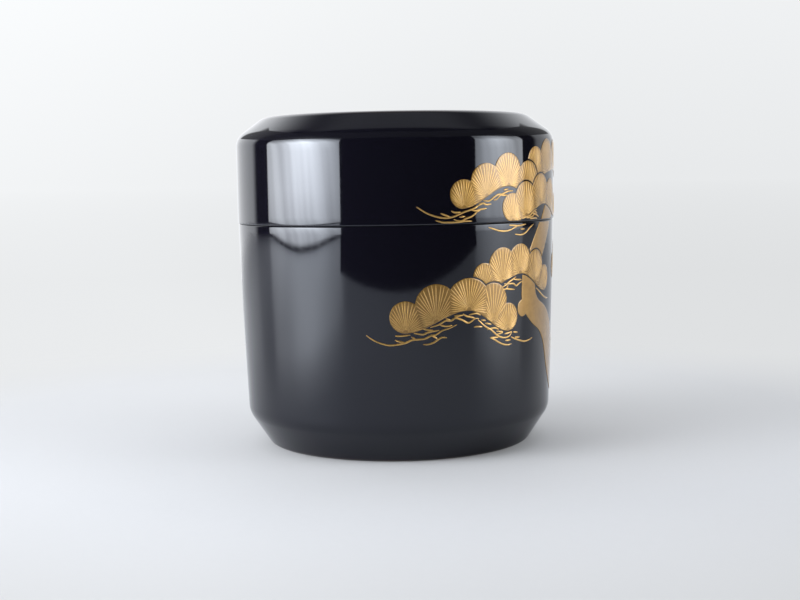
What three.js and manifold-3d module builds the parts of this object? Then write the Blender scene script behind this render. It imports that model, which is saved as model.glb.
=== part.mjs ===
// Lacquer tea caddy: a turned body with a raised neck, a lid that slips down over the neck,
// and an old pine in raised gold that runs round the wall and across the seam.
// Millimetres, +Z up, origin at the middle of the foot, the front facing -Y.
import * as THREE from "three";
import { mergeVertices } from "three/addons/utils/BufferGeometryUtils.js";
import Module from "manifold-3d";

const wasm = await Module();
wasm.setup();

// Outer form
const LID_RADIUS = 33; // straight wall of the lid
const BODY_HEIGHT = 46; // foot to the shoulder that the lid rests on
const LID_HEIGHT = 21.8; // rim of the lid to its flat top
const TOP_BEVEL_WIDTH = 6.1; // bevel round the top of the lid, measured inwards
const TOP_BEVEL_HEIGHT = 4.3;
const FOOT_BEVEL_WIDTH = 4.5; // bevel round the foot, measured inwards
const FOOT_BEVEL_HEIGHT = 6.8;
const LID_OVERHANG = 0.15; // the lid stands this much proud of the body
const BODY_TAPER = 1.2; // the body draws in by this much from shoulder to foot bevel
const TAPER_POWER = 1.3; // over 1, so the draw-in grows towards the foot

// Walls, floor and neck
const LID_WALL = 2.2;
const LID_TOP_THICKNESS = 2.6;
const NECK_WALL = 1.5;
const NECK_HEADROOM = 6.5; // top of the neck to the ceiling of the lid
const LID_CLEARANCE = 0.15; // running gap between the neck and the lid
const FLOOR_THICKNESS = 3.6;
const BASE_RECESS = 0.5; // hollow under the floor, inside the standing ring
const BASE_RING_WIDTH = 3.6;

// Rounded edges
const CREASE_ROUND = 2; // where the walls turn into the bevels, and the top bevel into the top
const FOOT_ROUND = 1.2;
const SEAM_ROUND = 0.3; // the two lips that make the dark line of the seam
const NECK_ROUND = 0.5;
const RECESS_ROUND = 0.2;
const FLOOR_ROUND = 6; // hollow corner inside the body
const CEILING_ROUND = 5; // hollow corner inside the lid

// Gold
const GOLD_RELIEF = 0.15; // how far the gold stands up
const GOLD_BOND = 0.03; // film of lacquer that the gold is laid on
const BARE_LINE = 0.25; // line of bare lacquer left between a bough and what it passes in front of

// Facets
const TURNS = 64; // flats round every turned wall
const ROUND_STEPS = 3; // flats on a rounded edge
const WALL_STEPS = 6; // flats down the tapering wall
const LOBE_STEPS = 9; // flats round half a lobe of needles
const ARCH_STEPS = 10; // flats along half of an underside
const TRUNK_STEPS = 4; // flats along the trunk for each point of its middle line

// The pine, drawn on the unrolled wall: millimetres along the wall from the front line, then
// millimetres above the seam. A bough is a row of round lobes over an arched underside.
const PINE_UNIT = 1; // length of one unit of the drawing below
const LID_LEFT_BOUGH = {
  lobes: [
    { along: 13.2, up: 5.7, radius: 2.8 },
    { along: 18.3, up: 7.9, radius: 3.6 },
    { along: 23.8, up: 9.9, radius: 3.55 },
    { along: 30, up: 8.3, radius: 3.6 },
  ],
  underside: { left: [12.7, 2.95], crown: [23.6, 7], right: [31.5, 4.8] },
};
const LID_LOW_BOUGH = {
  lobes: [
    { along: 24.9, up: 2.9, radius: 2.8 },
    { along: 29.2, up: 4.4, radius: 3.5 },
    { along: 35.2, up: 5.6, radius: 3.8 },
    { along: 41.3, up: 4.9, radius: 3.5 },
    { along: 45.8, up: 2.9, radius: 2.5 },
  ],
  underside: { left: [24.9, 0.1], crown: [36.8, 3.3], right: [46, 0.5] },
};
const LID_CROWN_BOUGH = {
  lobes: [
    { along: 33, up: 11.6, radius: 3.1 },
    { along: 39, up: 12.5, radius: 3.8 },
    { along: 46, up: 12.6, radius: 3.7 },
    { along: 52.3, up: 11, radius: 3.5 },
    { along: 57.2, up: 8.6, radius: 2.8 },
  ],
  underside: { left: [31.6, 8.7], crown: [44.5, 10], right: [57.4, 5.9] },
};
const LID_RIGHT_BOUGH = {
  lobes: [
    { along: 53.6, up: 3, radius: 2.6 },
    { along: 58.6, up: 4.4, radius: 3.3 },
    { along: 64.8, up: 5.2, radius: 3.8 },
    { along: 70.6, up: 4.2, radius: 3 },
    { along: 74.6, up: 2.8, radius: 2.2 },
  ],
  underside: { left: [53.6, 0.5], crown: [63.6, 2.9], right: [74.6, 0.7] },
};
const BODY_LEFT_BOUGH = {
  lobes: [
    { along: 1.5, up: -17.25, radius: 3.05 },
    { along: 7.5, up: -15.2, radius: 4.1 },
    { along: 14.3, up: -15.1, radius: 4.9 },
    { along: 19.9, up: -14.9, radius: 3.5 },
    { along: 23.9, up: -18.3, radius: 2.75 },
  ],
  underside: { left: [1.4, -20.3], crown: [14, -16.45], right: [24, -21.05] },
};
const BODY_UPPER_BOUGH = {
  lobes: [
    { along: 17.8, up: -10.1, radius: 2.6 },
    { along: 22.3, up: -8.2, radius: 3.5 },
    { along: 27.4, up: -7.7, radius: 3.5 },
    { along: 33, up: -9, radius: 3.4 },
    { along: 37.5, up: -11.5, radius: 2.6 },
  ],
  underside: { left: [17.8, -12.6], crown: [27.6, -10.1], right: [37.6, -14.1] },
};
const BODY_HIGH_RIGHT_BOUGH = {
  lobes: [
    { along: 46.8, up: -9.6, radius: 2.7 },
    { along: 51.8, up: -7.4, radius: 3.5 },
    { along: 58, up: -6.7, radius: 3.8 },
    { along: 64, up: -8.3, radius: 3.3 },
    { along: 68.4, up: -11.2, radius: 2.6 },
  ],
  underside: { left: [46.6, -12.2], crown: [56.8, -9.5], right: [68.6, -13.7] },
};
const BODY_RIGHT_BOUGH = {
  lobes: [
    { along: 57.8, up: -23.4, radius: 2.8 },
    { along: 63.4, up: -21.2, radius: 3.9 },
    { along: 70.4, up: -20.5, radius: 4.4 },
    { along: 77, up: -21.9, radius: 3.7 },
    { along: 82, up: -24.8, radius: 2.9 },
  ],
  underside: { left: [57.6, -26.1], crown: [69.6, -22.3], right: [82.2, -27.6] },
};

// The trunk: a winding middle line with the width at each point, in two lengths whose meeting
// ends hide behind the upper bough. The lower one parts into two roots and has a broken stub.
const UPPER_TRUNK = [
  { along: 41.2, up: 4.4, width: 4.6 },
  { along: 37.9, up: -0.5, width: 5.2 },
  { along: 33.8, up: -5.8, width: 5.5 },
  { along: 32, up: -8.6, width: 5.5 },
];
const LOWER_TRUNK = [
  { along: 30.9, up: -9.4, width: 5 },
  { along: 30.5, up: -12.5, width: 5 },
  { along: 31, up: -15.6, width: 5.4 },
  { along: 33.4, up: -18, width: 5.2 },
  { along: 37.2, up: -19.9, width: 5.6 },
  { along: 40.6, up: -23, width: 6.4 },
  { along: 42.8, up: -27, width: 6.8 },
  { along: 45, up: -31, width: 5.6 },
  { along: 47, up: -35, width: 1.2 },
];
const ROOT = [
  { along: 41.2, up: -23.6, width: 4.6 },
  { along: 46.4, up: -27.4, width: 5.4 },
  { along: 52.4, up: -30.2, width: 4.2 },
  { along: 59.6, up: -31.6, width: 1 },
];
const TRUNK_STUB = { along: 28.4, up: -16.9, radius: 1.7 };
const STUB_START = LOWER_TRUNK[2]; // where the broken stub leaves the middle line

// Sizes that follow from the ones above
const SHOULDER_RADIUS = LID_RADIUS - LID_OVERHANG;
const CREASE_RADIUS = SHOULDER_RADIUS - BODY_TAPER;
const FOOT_RADIUS = CREASE_RADIUS - FOOT_BEVEL_WIDTH;
const RECESS_RADIUS = FOOT_RADIUS - BASE_RING_WIDTH;
const LID_BORE = LID_RADIUS - LID_WALL;
const NECK_RADIUS = LID_BORE - LID_CLEARANCE;
const MOUTH_RADIUS = NECK_RADIUS - NECK_WALL;
const LID_TOP = BODY_HEIGHT + LID_HEIGHT;
const LID_CEILING = LID_TOP - LID_TOP_THICKNESS;
const LID_WALL_TOP = LID_TOP - TOP_BEVEL_HEIGHT;
const NECK_TOP = LID_CEILING - NECK_HEADROOM;
const FLOOR_TOP = BASE_RECESS + FLOOR_THICKNESS;

const LACQUER = { color: 0x0b0a0d, roughness: 0.08, metalness: 0 };
const GOLD = { color: 0xc59a4a, roughness: 0.4, metalness: 1 };

// Profiles

function sharp(radius, height) {
  return { point: new THREE.Vector2(radius, height), round: 0 };
}

function rounded(radius, height, round) {
  return { point: new THREE.Vector2(radius, height), round };
}

// The points of a corner: itself if it is sharp, or an arc that touches both of its sides.
function cornerPoints(before, corner, after) {
  if (corner.round === 0) return [corner.point];
  const back = before.point.clone().sub(corner.point).normalize();
  const ahead = after.point.clone().sub(corner.point).normalize();
  const halfAngle = Math.acos(back.dot(ahead)) / 2;
  const middle = back.clone().add(ahead).normalize();
  const centre = corner.point.clone().addScaledVector(middle, corner.round / Math.sin(halfAngle));
  const touch = corner.round / Math.tan(halfAngle);
  const from = corner.point.clone().addScaledVector(back, touch).sub(centre).angle();
  const to = corner.point.clone().addScaledVector(ahead, touch).sub(centre).angle();
  const clockwise = back.cross(ahead) > 0;
  const arc = new THREE.EllipseCurve(
    centre.x, centre.y, corner.round, corner.round, from, to, clockwise,
  );
  return arc.getPoints(ROUND_STEPS);
}

// A profile from a row of corners. Its first and last corners stay as they are.
function profile(corners) {
  return corners.flatMap((corner, i) =>
    i === 0 || i === corners.length - 1
      ? [corner.point]
      : cornerPoints(corners[i - 1], corner, corners[i + 1]),
  );
}

// A profile turned about the upright axis.
function turned(points) {
  return new THREE.LatheGeometry(points, TURNS).rotateX(Math.PI / 2);
}

// Heights down the tapering wall, and the radius of the wall at each.
function bodyRadius(height) {
  const share = (BODY_HEIGHT - height) / (BODY_HEIGHT - FOOT_BEVEL_HEIGHT);
  return SHOULDER_RADIUS - BODY_TAPER * share ** TAPER_POWER;
}

function wallHeights(bottom, top) {
  return Array.from({ length: WALL_STEPS + 1 }, (_, i) =>
    THREE.MathUtils.lerp(bottom, top, i / WALL_STEPS),
  );
}

const BODY_WALL_HEIGHTS = wallHeights(FOOT_BEVEL_HEIGHT, BODY_HEIGHT);

function bodyGeometry() {
  const inner = BODY_WALL_HEIGHTS.slice(1, -1);
  return turned(
    profile([
      sharp(0, BASE_RECESS),
      rounded(RECESS_RADIUS, BASE_RECESS, RECESS_ROUND),
      sharp(RECESS_RADIUS, 0),
      rounded(FOOT_RADIUS, 0, FOOT_ROUND),
      rounded(CREASE_RADIUS, FOOT_BEVEL_HEIGHT, CREASE_ROUND),
      ...inner.map((height) => sharp(bodyRadius(height), height)),
      rounded(SHOULDER_RADIUS, BODY_HEIGHT, SEAM_ROUND),
      sharp(NECK_RADIUS, BODY_HEIGHT),
      rounded(NECK_RADIUS, NECK_TOP, NECK_ROUND),
      rounded(MOUTH_RADIUS, NECK_TOP, NECK_ROUND),
      rounded(MOUTH_RADIUS, FLOOR_TOP, FLOOR_ROUND),
      sharp(0, FLOOR_TOP),
    ]),
  );
}

function lidGeometry() {
  return turned(
    profile([
      sharp(0, LID_CEILING),
      rounded(LID_BORE, LID_CEILING, CEILING_ROUND),
      rounded(LID_BORE, BODY_HEIGHT, SEAM_ROUND),
      rounded(LID_RADIUS, BODY_HEIGHT, SEAM_ROUND),
      rounded(LID_RADIUS, LID_WALL_TOP, CREASE_ROUND),
      rounded(LID_RADIUS - TOP_BEVEL_WIDTH, LID_TOP, CREASE_ROUND),
      sharp(0, LID_TOP),
    ]),
  );
}

// Solids to join and cut

function solid(geometry) {
  const bare = geometry.clone();
  bare.deleteAttribute("normal");
  bare.deleteAttribute("uv");
  const merged = mergeVertices(bare);
  return new wasm.Manifold(
    new wasm.Mesh({
      numProp: 3,
      vertProperties: new Float32Array(merged.attributes.position.array),
      triVerts: new Uint32Array(merged.index.array),
    }),
  );
}

function geometryOf(body) {
  const mesh = body.getMesh();
  const geometry = new THREE.BufferGeometry();
  geometry.setAttribute("position", new THREE.BufferAttribute(mesh.vertProperties, mesh.numProp));
  geometry.setIndex(new THREE.BufferAttribute(mesh.triVerts, 1));
  geometry.computeVertexNormals();
  return geometry;
}

// The thin ring that all the gold on one wall is cut from.
function goldRing(heights, radiusAt) {
  const inner = heights.map((z) => new THREE.Vector2(radiusAt(z) + GOLD_BOND, z));
  const outer = inner.map((p) => new THREE.Vector2(p.x + GOLD_RELIEF, p.y));
  return solid(turned([...outer, ...inner.reverse(), outer[0]]));
}

// An outline on the unrolled wall, made a wedge that narrows to the axis and cuts the ring.
function wedge(outline) {
  const near = LID_RADIUS / 2;
  const geometry = new THREE.ExtrudeGeometry(outline, {
    depth: LID_RADIUS,
    steps: 1,
    bevelEnabled: false,
  });
  const position = geometry.attributes.position;
  for (let i = 0; i < position.count; i++) {
    const turn = (PINE_UNIT * position.getX(i)) / LID_RADIUS;
    const radius = near + position.getZ(i);
    position.setXYZ(
      i,
      radius * Math.sin(turn),
      -radius * Math.cos(turn),
      BODY_HEIGHT + PINE_UNIT * position.getY(i),
    );
  }
  return solid(geometry);
}

function disc({ along, up, radius }, grow) {
  const circle = new THREE.EllipseCurve(along, up, radius + grow, radius + grow);
  return wedge(new THREE.Shape(circle.getPoints(2 * LOBE_STEPS).slice(1)));
}

// One half of an arched underside, level at both of its ends.
function halfArch(from, to) {
  return Array.from({ length: ARCH_STEPS + 1 }, (_, i) => {
    const share = i / ARCH_STEPS;
    const eased = (1 - Math.cos(Math.PI * share)) / 2;
    return new THREE.Vector2(
      THREE.MathUtils.lerp(from[0], to[0], share),
      THREE.MathUtils.lerp(from[1], to[1], eased),
    );
  });
}

function undersideLine({ left, crown, right }, grow) {
  const line = [...halfArch(left, crown), ...halfArch(crown, right).slice(1)];
  return line.map((p) => p.setY(p.y - grow));
}

// A bough: its lobes, the web that fills between them, less what lies under the arch.
function bough({ lobes, underside }, grow) {
  const line = undersideLine(underside, grow);
  const spine = lobes.map(({ along, up }) => new THREE.Vector2(along, up)).reverse();
  const web = wedge(new THREE.Shape([...line, ...spine]));
  const below = Math.min(line[0].y, line.at(-1).y) - LID_RADIUS;
  const hollow = wedge(
    new THREE.Shape([
      ...line,
      new THREE.Vector2(line.at(-1).x, below),
      new THREE.Vector2(line[0].x, below),
    ]),
  );
  return lobes.reduce((whole, lobe) => whole.add(disc(lobe, grow)), web).subtract(hollow);
}

function trunk(points) {
  const middle = new THREE.SplineCurve(points.map((p) => new THREE.Vector2(p.along, p.up)));
  const width = new THREE.SplineCurve(points.map((p, i) => new THREE.Vector2(i, p.width)));
  const count = points.length * TRUNK_STEPS;
  const side = (sign) =>
    Array.from({ length: count + 1 }, (_, i) => {
      const share = i / count;
      const across = middle.getTangent(share).rotateAround(new THREE.Vector2(), Math.PI / 2);
      const half = width.getPoint(share).y / 2;
      return middle.getPoint(share).addScaledVector(across, sign * half);
    });
  return wedge(new THREE.Shape([...side(1), ...side(-1).reverse()]));
}

// A short branch that starts inside the trunk and ends in a round knob.
function stub(start, end) {
  const neck = [start, end].map(({ along, up }) => ({ along, up, width: end.radius }));
  return trunk(neck).add(disc(end, 0));
}

// A drawn piece, cut back where other boughs pass in front of it.
function behind(piece, ...inFront) {
  const gap = BARE_LINE / PINE_UNIT;
  return inFront.reduce((left, front) => left.subtract(bough(front, gap)), piece);
}

const lidRing = goldRing(
  [BODY_HEIGHT + SEAM_ROUND, LID_WALL_TOP - CREASE_ROUND / 2],
  () => LID_RADIUS,
);
const bodyRing = goldRing(
  BODY_WALL_HEIGHTS.map((z, i) => {
    if (i === 0) return z + CREASE_ROUND / 2;
    return i === WALL_STEPS ? z - SEAM_ROUND : z;
  }),
  bodyRadius,
);

// The assembly

function piece(name, geometry, finish) {
  const mesh = new THREE.Mesh(geometry, new THREE.MeshStandardMaterial(finish));
  mesh.name = name;
  return mesh;
}

function gold(name, ring, drawn) {
  return piece(name, geometryOf(ring.intersect(drawn)), GOLD);
}

const body = new THREE.Group();
body.add(
  piece("caddy_body", bodyGeometry(), LACQUER),
  gold("body_pine_left", bodyRing, bough(BODY_LEFT_BOUGH, 0)),
  gold("body_pine_upper", bodyRing, behind(bough(BODY_UPPER_BOUGH, 0), BODY_LEFT_BOUGH)),
  gold("body_pine_high_right", bodyRing, bough(BODY_HIGH_RIGHT_BOUGH, 0)),
  gold("body_pine_right", bodyRing, bough(BODY_RIGHT_BOUGH, 0)),
  gold("body_trunk_top", bodyRing, behind(trunk(UPPER_TRUNK), BODY_UPPER_BOUGH)),
  gold(
    "body_trunk",
    bodyRing,
    behind(
      trunk(LOWER_TRUNK).add(trunk(ROOT)).add(stub(STUB_START, TRUNK_STUB)),
      BODY_LEFT_BOUGH,
      BODY_UPPER_BOUGH,
    ),
  ),
);

const lid = new THREE.Group();
lid.add(
  piece("lid", lidGeometry(), LACQUER),
  gold("lid_pine_left", lidRing, behind(bough(LID_LEFT_BOUGH, 0), LID_LOW_BOUGH)),
  gold("lid_pine_low", lidRing, bough(LID_LOW_BOUGH, 0)),
  gold(
    "lid_pine_crown",
    lidRing,
    behind(bough(LID_CROWN_BOUGH, 0), LID_LEFT_BOUGH, LID_LOW_BOUGH, LID_RIGHT_BOUGH),
  ),
  gold("lid_pine_right", lidRing, bough(LID_RIGHT_BOUGH, 0)),
  gold("lid_trunk", lidRing, behind(trunk(UPPER_TRUNK), LID_LOW_BOUGH)),
);

const caddy = new THREE.Group();
caddy.add(body, lid);

export default caddy;
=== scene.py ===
"""Looks of a lacquer tea caddy: two mirror-black turned shells and an old pine in raised gold.

Metres, +Z up, the front facing -Y. The pine is drawn on the unrolled wall, in millimetres:
along the wall from the front line, rightwards, and then up from the seam.
"""

import math

import bpy
import numpy as np
from bpy.props import FloatProperty, FloatVectorProperty, IntProperty, PointerProperty
from mathutils import Matrix, Vector


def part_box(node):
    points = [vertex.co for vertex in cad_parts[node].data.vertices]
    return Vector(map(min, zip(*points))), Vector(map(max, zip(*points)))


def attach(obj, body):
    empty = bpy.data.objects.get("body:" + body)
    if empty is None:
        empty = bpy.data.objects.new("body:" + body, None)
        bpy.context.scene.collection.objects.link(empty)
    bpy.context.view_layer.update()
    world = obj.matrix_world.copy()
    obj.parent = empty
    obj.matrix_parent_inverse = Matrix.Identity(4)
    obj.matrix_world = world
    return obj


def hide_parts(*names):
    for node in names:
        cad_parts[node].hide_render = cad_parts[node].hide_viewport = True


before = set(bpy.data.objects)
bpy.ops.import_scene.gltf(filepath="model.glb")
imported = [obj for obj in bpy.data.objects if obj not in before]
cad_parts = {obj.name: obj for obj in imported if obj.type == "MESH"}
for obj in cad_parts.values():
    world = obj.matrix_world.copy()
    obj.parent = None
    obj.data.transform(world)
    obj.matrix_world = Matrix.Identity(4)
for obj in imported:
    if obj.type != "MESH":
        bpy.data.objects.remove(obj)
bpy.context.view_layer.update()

bl_info = {
    "name": "Lacquer Tea Caddy",
    "version": (1, 0, 0),
    "blender": (4, 5, 0),
    "location": "3D View > Sidebar > Tea Caddy",
    "description": "Builds a black lacquer tea caddy with an old pine in raised gold",
    "category": "Object",
}

MM = 0.001
LID_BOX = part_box("lid")
BODY_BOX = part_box("caddy_body")

# Angles between faces above which an edge is kept sharp.
SHELL_SHARP = math.radians(35)
PLATE_SHARP = math.radians(50)
LINE_SHARP = math.radians(60)
# Points down the curved wall of the body, and steps in a rounded corner.
WALL_POINTS = 26
CORNER_STEPS = 12
# How near a grid point is drawn on to an outline, in grid steps, and the least slope it is drawn by.
SNAP_REACH = 0.4
SNAP_SLOPE = 0.25
# Height at which the rounded edge of a bough starts, as a share of its relief.
EDGE_START = 0.5

# The boughs of the pine. A lobe of needles is (along, up, radius). The underside is an arch,
# given by its left end, its crown and its right end. Boughs named in "behind" pass in front.
BOUGHS = {
    "lid_pine_left": {
        "lobes": [(13.2, 5.7, 2.8), (18.3, 7.9, 3.6), (23.8, 9.9, 3.55), (30, 8.3, 3.6)],
        "underside": [(12.7, 2.95), (23.6, 7), (31.5, 4.8)],
        "behind": ["lid_pine_low"],
    },
    "lid_pine_low": {
        "lobes": [
            (24.9, 2.9, 2.8), (29.2, 4.4, 3.5), (35.2, 5.6, 3.8), (41.3, 4.9, 3.5), (45.8, 2.9, 2.5),
        ],
        "underside": [(24.9, 0.1), (36.8, 3.3), (46, 0.5)],
        "behind": [],
    },
    "lid_pine_crown": {
        "lobes": [(33, 11.6, 3.1), (39, 12.5, 3.8), (46, 12.6, 3.7), (52.3, 11, 3.5), (57.2, 8.6, 2.8)],
        "underside": [(31.6, 8.7), (44.5, 10), (57.4, 5.9)],
        "behind": ["lid_pine_left", "lid_pine_low", "lid_pine_right"],
    },
    "lid_pine_right": {
        "lobes": [(53.6, 3, 2.6), (58.6, 4.4, 3.3), (64.8, 5.2, 3.8), (70.6, 4.2, 3), (74.6, 2.8, 2.2)],
        "underside": [(53.6, 0.5), (63.6, 2.9), (74.6, 0.7)],
        "behind": [],
    },
    "body_pine_left": {
        "lobes": [
            (1.5, -17.25, 3.05), (7.5, -15.2, 4.1), (14.3, -15.1, 4.9), (19.9, -14.9, 3.5),
            (23.9, -18.3, 2.75),
        ],
        "underside": [(1.4, -20.3), (14, -16.45), (24, -21.05)],
        "behind": [],
    },
    "body_pine_upper": {
        "lobes": [
            (17.8, -10.1, 2.6), (22.3, -8.2, 3.5), (27.4, -7.7, 3.5), (33, -9, 3.4), (37.5, -11.5, 2.6),
        ],
        "underside": [(17.8, -12.6), (27.6, -10.1), (37.6, -14.1)],
        "behind": ["body_pine_left"],
    },
    "body_pine_high_right": {
        "lobes": [
            (46.8, -9.6, 2.7), (51.8, -7.4, 3.5), (58, -6.7, 3.8), (64, -8.3, 3.3), (68.4, -11.2, 2.6),
        ],
        "underside": [(46.6, -12.2), (56.8, -9.5), (68.6, -13.7)],
        "behind": [],
    },
    "body_pine_right": {
        "lobes": [
            (57.8, -23.4, 2.8), (63.4, -21.2, 3.9), (70.4, -20.5, 4.4), (77, -21.9, 3.7), (82, -24.8, 2.9),
        ],
        "underside": [(57.6, -26.1), (69.6, -22.3), (82.2, -27.6)],
        "behind": [],
    },
}

# The trunk: middle lines of (along, up, width). Its two lengths meet behind the upper bough.
UPPER_TRUNK = [(41.2, 4.4, 4.6), (37.9, -0.5, 5.2), (33.8, -5.8, 5.5), (32, -8.6, 5.5)]
LOWER_TRUNK = [
    (30.9, -9.4, 5), (30.5, -12.5, 5), (31, -15.6, 5.4), (33.4, -18, 5.2), (37.2, -19.9, 5.6),
    (40.6, -23, 6.4), (42.8, -27, 6.8), (45, -31, 5.6), (47, -35, 1.2),
]
ROOT = [(41.2, -23.6, 4.6), (46.4, -27.4, 5.4), (52.4, -30.2, 4.2), (59.6, -31.6, 1)]
STUB = [(31, -15.6, 1.7), (28.4, -16.9, 3.4)]
TRUNKS = {
    "lid_trunk": {"lines": [UPPER_TRUNK], "behind": ["lid_pine_low"]},
    "body_trunk_top": {"lines": [UPPER_TRUNK], "behind": ["body_pine_upper"]},
    "body_trunk": {
        "lines": [LOWER_TRUNK, ROOT, STUB],
        "behind": ["body_pine_left", "body_pine_upper"],
    },
}

# Twigs that hang under the boughs, as lines of (along, up).
LID_LEFT_TWIGS = [
    [
        (3.9, 3.5), (5.8, 2.3), (7.7, 1.6), (9.6, 1.3), (11.3, 1.6), (13.1, 2.3), (14.9, 2.8), (16.3, 3.5),
        (17.9, 3.9),
    ],
    [(8.5, 2.2), (10.2, 1.5)],
    [(10.6, 2.6), (11.3, 2.3), (12.5, 2.3)],
    [(14.3, 2.75), (15.5, 3.0), (16.3, 3.4)],
    [(14.7, 2.7), (15.8, 2.5), (16.6, 2.7), (18.2, 2.9)],
    [(16.4, 3.8), (17.5, 3.9), (18.0, 3.6), (19.3, 3.7)],
    [(17.4, 4.4), (18.8, 4.3), (20.0, 5.0), (21.1, 5.5), (22.3, 5.5)],
    [(19.9, 4.4), (20.7, 4.6), (21.6, 5.3), (23.5, 6.0), (25.0, 6.1)],
    [(21.6, 5.3), (23.5, 5.3)],
    [(22.4, 6.3), (23.7, 6.5)],
    [(7.5, 0.9), (8.9, 0.5), (10.7, 0.45), (12.2, 0.5), (13.5, 0.6), (14.8, 0.6)],
    [(11.1, 1.0), (12.0, 0.7), (12.8, 0.7), (13.6, 1.1), (14.9, 1.5), (15.9, 2.2), (16.9, 2.7)],
    [(12.2, 1.4), (13.4, 1.5)],
]
LID_LOW_TWIGS = [
    [(27.6, 0.6), (29.0, 0.9), (30.5, 1.2), (31.6, 1.8), (33.1, 2.3)],
    [(29.2, 0.7), (31.1, 0.9), (32.2, 1.3)],
    [(31.1, 1.7), (32.8, 1.3), (34.0, 0.8)],
    [(32.2, 2.0), (33.4, 1.5)],
    [(30.5, 0.5), (32.2, 0.6), (33.4, 0.5)],
]
BODY_SEAM_TWIGS = [
    [(18.7, -0.7), (20.3, -1.2), (21.5, -1.5), (23.0, -1.6), (24.4, -1.4), (25.6, -1.0), (26.7, -0.7)],
    [(24.0, -0.5), (25.4, -0.6), (26.7, -0.7), (28.2, -0.6), (29.2, -0.5)],
    [(25.7, -2.3), (27.6, -2.5), (29.2, -2.1), (30.5, -1.3), (32.0, -0.6)],
    [(27.4, -1.4), (28.8, -1.4)],
]
BODY_UPPER_TWIGS = [
    [(22.3, -12.4), (23.3, -12.0), (24.1, -11.5), (25.3, -11.0), (26.1, -10.6)],
    [(22.7, -11.8), (23.9, -11.9), (25.3, -11.9), (26.2, -12.4), (27.0, -12.0), (28.2, -11.6)],
    [(25.5, -11.1), (27.9, -11.3)],
    [(22.2, -13.0), (23.3, -12.8), (24.1, -12.9), (25.7, -13.1)],
    [(23.3, -12.8), (23.8, -12.2)],
    [(33.4, -13.3), (34.8, -14.0), (36.7, -15.0), (39.1, -15.8), (40.5, -15.9)],
]
BODY_LEFT_TWIGS = [
    [
        (-6.1, -20.6), (-4.8, -21.5), (-3.4, -22.1), (-1.7, -22.5), (0, -22.4), (1.5, -22.1), (2.7, -21.6),
        (4.2, -21.5), (5.3, -21.4), (6.4, -20.9), (7.5, -20.7), (8.7, -20.0), (10.2, -19.6), (11.7, -19.0),
    ],
    [(-0.5, -20.75), (0.8, -20.75), (2.4, -20.6)],
    [(-0.6, -21.5), (0.5, -21.9), (1.3, -22.0)],
    [(3.1, -20.3), (4.2, -20.5), (5.0, -20.6), (5.9, -20.2), (8.1, -19.9)],
    [(4.8, -19.5), (5.7, -19.7), (7.1, -20.0)],
    [
        (6.3, -19.3), (7.4, -19.0), (8.1, -18.8), (8.8, -18.4), (9.5, -18.1), (10.5, -18.2), (11.3, -17.7),
        (12.0, -17.4), (13.2, -17.2),
    ],
    [(8.2, -18.9), (9.4, -19.2), (10.7, -19.1)],
    [(2.6, -21.0), (3.5, -21.5)],
    [(4.9, -22.5), (6.0, -22.5), (7.0, -22.2), (7.8, -21.7), (8.6, -21.3), (9.6, -21.4)],
    [(6.4, -20.7), (7.7, -21.5)],
    [(9.4, -17.7), (10.5, -18.2)],
    [
        (10.3, -18.3), (11.0, -17.8), (11.8, -17.8), (12.9, -18.2), (14.2, -18.8), (15.6, -18.1),
        (16.5, -18.1),
    ],
    [(11.1, -17.3), (12.9, -17.3)],
    [(13.0, -17.0), (13.8, -17.5), (14.7, -17.7), (15.6, -18.0)],
    [(14.3, -17.3), (15.2, -17.1), (16.1, -17.1), (16.9, -17.5)],
    [
        (16.3, -18.3), (17.0, -18.9), (17.7, -19.5), (18.5, -20.0), (19.5, -20.5), (20.5, -21.3),
        (21.4, -21.9), (22.8, -22.3), (24.1, -22.2), (24.8, -21.7), (25.0, -21.2),
    ],
    [(15.4, -19.7), (16.2, -19.6), (17.3, -19.8)],
    [(17.0, -18.4), (18.1, -18.6)],
    [(18.0, -19.1), (19.5, -19.4)],
    [(18.5, -20.4), (19.5, -20.2), (20.5, -20.2), (21.4, -20.6)],
    [(20.8, -20.9), (21.9, -21.0), (22.5, -21.2), (21.7, -21.4), (20.8, -21.5)],
    [(23.0, -21.6), (23.8, -21.5), (25.0, -21.3)],
    [(24.8, -22.3), (26.0, -22.8), (27.3, -23.2), (29.1, -23.6), (30.9, -23.5), (32.2, -23.2)],
    [(25.5, -21.4), (26.9, -21.6)],
    [(26.0, -22.5), (27.5, -22.6)],
    [(19.2, -22.0), (20.4, -22.5), (21.5, -23.1), (22.7, -23.6), (24.0, -23.8), (25.0, -23.7)],
    [(19.2, -22.0), (21.3, -22.1)],
    [(23.2, -22.9), (24.7, -22.9)],
]

# Boughs that have twigs of their own, and boughs that carry the twigs of another one.
TWIGS = {
    "lid_pine_left": LID_LEFT_TWIGS,
    "lid_pine_low": LID_LOW_TWIGS,
    "body_pine_upper": BODY_UPPER_TWIGS,
    "body_pine_left": BODY_LEFT_TWIGS,
}
TWIGS_LIKE = {
    "lid_pine_right": "lid_pine_low",
    "body_pine_high_right": "body_pine_upper",
    "body_pine_right": "body_pine_left",
}

# The fans of needles, in millimetres of the drawing and in radians.
NEEDLE_HUB = 0.2
NEEDLE_START = 0.45
NEEDLE_DELAY = 0.7
NEEDLE_SHORTEST = 0.5
NEEDLE_SEARCH = 0.04
NEEDLE_FAN = (-0.1 * math.pi, 1.1 * math.pi)
NEEDLE_WAVER = 0.01
NEEDLE_SEED = 7
# The farthest end of a needle, as a share of the radius of its lobe.
NEEDLE_REACH = 2.6

# Scales of the patterns in the finishes, in features per metre.
LACQUER_CLOUD = 120
LACQUER_HAZE = 900
LACQUER_SWELL = 55
GOLD_MOTTLE = 650
GOLD_GRAIN = 7000
GOLD_FLAKES = 9000
BOARD_TOOTH = 600
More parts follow.
